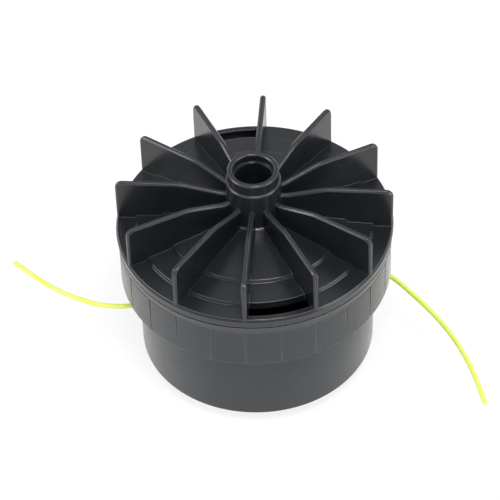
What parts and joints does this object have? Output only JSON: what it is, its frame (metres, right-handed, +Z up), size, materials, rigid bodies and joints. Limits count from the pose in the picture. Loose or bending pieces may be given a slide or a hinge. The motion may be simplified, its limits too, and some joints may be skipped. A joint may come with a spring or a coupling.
{
  "type": "trimmer line spool",
  "caption": "Tap-feed trimmer line spool head with a radial cooling fan on top, a gripped cup, a shaft bore and two free line tails.",
  "frame": {"origin": "on the spin axis, at the face of the tap knob on which the head stands", "axes": "+Z up along the spin axis, out of the shaft bore; one fan blade lies along +X"},
  "size_m": [0.1961, 0.1092, 0.0956],
  "materials": {
    "housing_plastic": "glossy moulded black",
    "cup_plastic": "satin moulded black",
    "spool_plastic": "satin moulded black",
    "knob_plastic": "satin moulded black",
    "line_nylon": "extruded yellow-green monofilament",
    "insert_steel": "zinc-plated, turned",
    "eyelet_metal": "turned",
    "washer_steel": "stamped",
    "spring_steel": "drawn wire"
  },
  "bodies": {
    "head": {"fan_housing": "housing_plastic", "drive_insert": "insert_steel", "cup": "cup_plastic", "line_eyelet_left": "eyelet_metal", "line_eyelet_right": "eyelet_metal", "line_tail_left": "line_nylon", "line_tail_right": "line_nylon", "spring": "spring_steel"},
    "carriage": {"thrust_washer": "washer_steel"},
    "spool": {"spool": "spool_plastic", "line_winding_upper": "line_nylon", "line_winding_lower": "line_nylon", "tap_knob": "knob_plastic"}
  },
  "joints": [
    {"name": "tap", "type": "slide", "parent": "head", "child": "carriage", "axis": [0, 0, 1], "range_m": [0, 0.006], "stiffness_N_per_m": 2000, "springref_m": -0.008, "deforming": ["spring"]},
    {"name": "feed", "type": "hinge", "parent": "carriage", "child": "spool", "pos_m": [0, 0, 0.03], "axis": [0, 0, 1], "range_deg": [-60, 0]}
  ]
}
